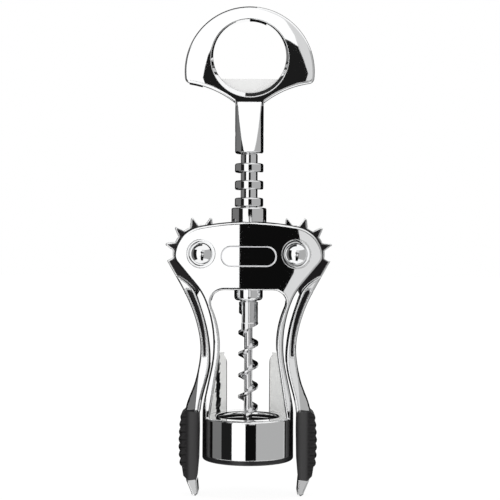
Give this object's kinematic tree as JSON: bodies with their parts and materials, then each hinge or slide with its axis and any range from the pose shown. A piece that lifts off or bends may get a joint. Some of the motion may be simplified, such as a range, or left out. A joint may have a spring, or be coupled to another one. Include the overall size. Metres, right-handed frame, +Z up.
{
  "type": "lever corkscrew",
  "caption": "Winged lever corkscrew: ring handle with cap lifter, worm in a ring rack, two geared levers with rubber grips and a cup that sits on the bottle.",
  "frame": {"origin": "worm axis in the plane where the cup's lip rests on the bottle", "axes": "+Z up along the worm to the handle, +X to the right lever, -Y the side with the badge"},
  "size_m": [0.0678, 0.0372, 0.1998],
  "materials": {
    "frame_chrome": "mirror chrome plating over zinc casting",
    "handle_chrome": "mirror chrome plating over zinc casting",
    "lever_chrome": "mirror chrome plating over zinc casting",
    "stem_chrome": "polished plated steel",
    "rivet_chrome": "polished plated steel",
    "lifter_steel": "satin stamped steel",
    "spindle_steel": "bright steel",
    "worm_steel": "bright steel",
    "badge_chrome": "polished plate with an engraved border",
    "liner_plastic": "black moulded plastic, satin",
    "grip_rubber": "soft black rubber, matte"
  },
  "bodies": {
    "frame": {"frame_body": "frame_chrome", "guide_bush": "stem_chrome", "bottle_liner": "liner_plastic", "front_badge": "badge_chrome", "left_pivot_rivet": "rivet_chrome", "right_pivot_rivet": "rivet_chrome", "left_front_washer": "rivet_chrome", "right_front_washer": "rivet_chrome", "left_rear_washer": "rivet_chrome", "right_rear_washer": "rivet_chrome"},
    "rack": {"rack_sleeve": "stem_chrome"},
    "spindle": {"spindle_rod": "spindle_steel", "handle_pin": "spindle_steel", "worm_pin": "spindle_steel", "upper_thrust_washer": "spindle_steel", "lower_thrust_washer": "spindle_steel", "handle": "handle_chrome", "cap_lifter": "lifter_steel", "worm": "worm_steel"},
    "left_wing": {"left_lever": "lever_chrome", "left_grip": "grip_rubber"},
    "right_wing": {"right_lever": "lever_chrome", "right_grip": "grip_rubber"}
  },
  "joints": [
    {"name": "rack_slide", "type": "slide", "parent": "frame", "child": "rack", "axis": [0, 0, 1], "range_m": [-0.0277, 0]},
    {"name": "worm_spin", "type": "hinge", "parent": "rack", "child": "spindle", "pos_m": [0, 0, 0.1], "axis": [0, 0, 1], "continuous": true},
    {"name": "left_lever_hinge", "type": "hinge", "parent": "frame", "child": "left_wing", "pos_m": [-0.0193, 0, 0.084], "axis": [0, 1, 0], "range_deg": [0, 118.5]},
    {"name": "right_lever_hinge", "type": "hinge", "parent": "frame", "child": "right_wing", "pos_m": [0.0193, 0, 0.084], "axis": [0, -1, 0], "range_deg": [0, 118.5]}
  ],
  "couplings": [
    {"joint": "left_lever_hinge", "follows": "rack_slide", "rad_per_m": -74.375},
    {"joint": "right_lever_hinge", "follows": "rack_slide", "rad_per_m": -74.375}
  ]
}
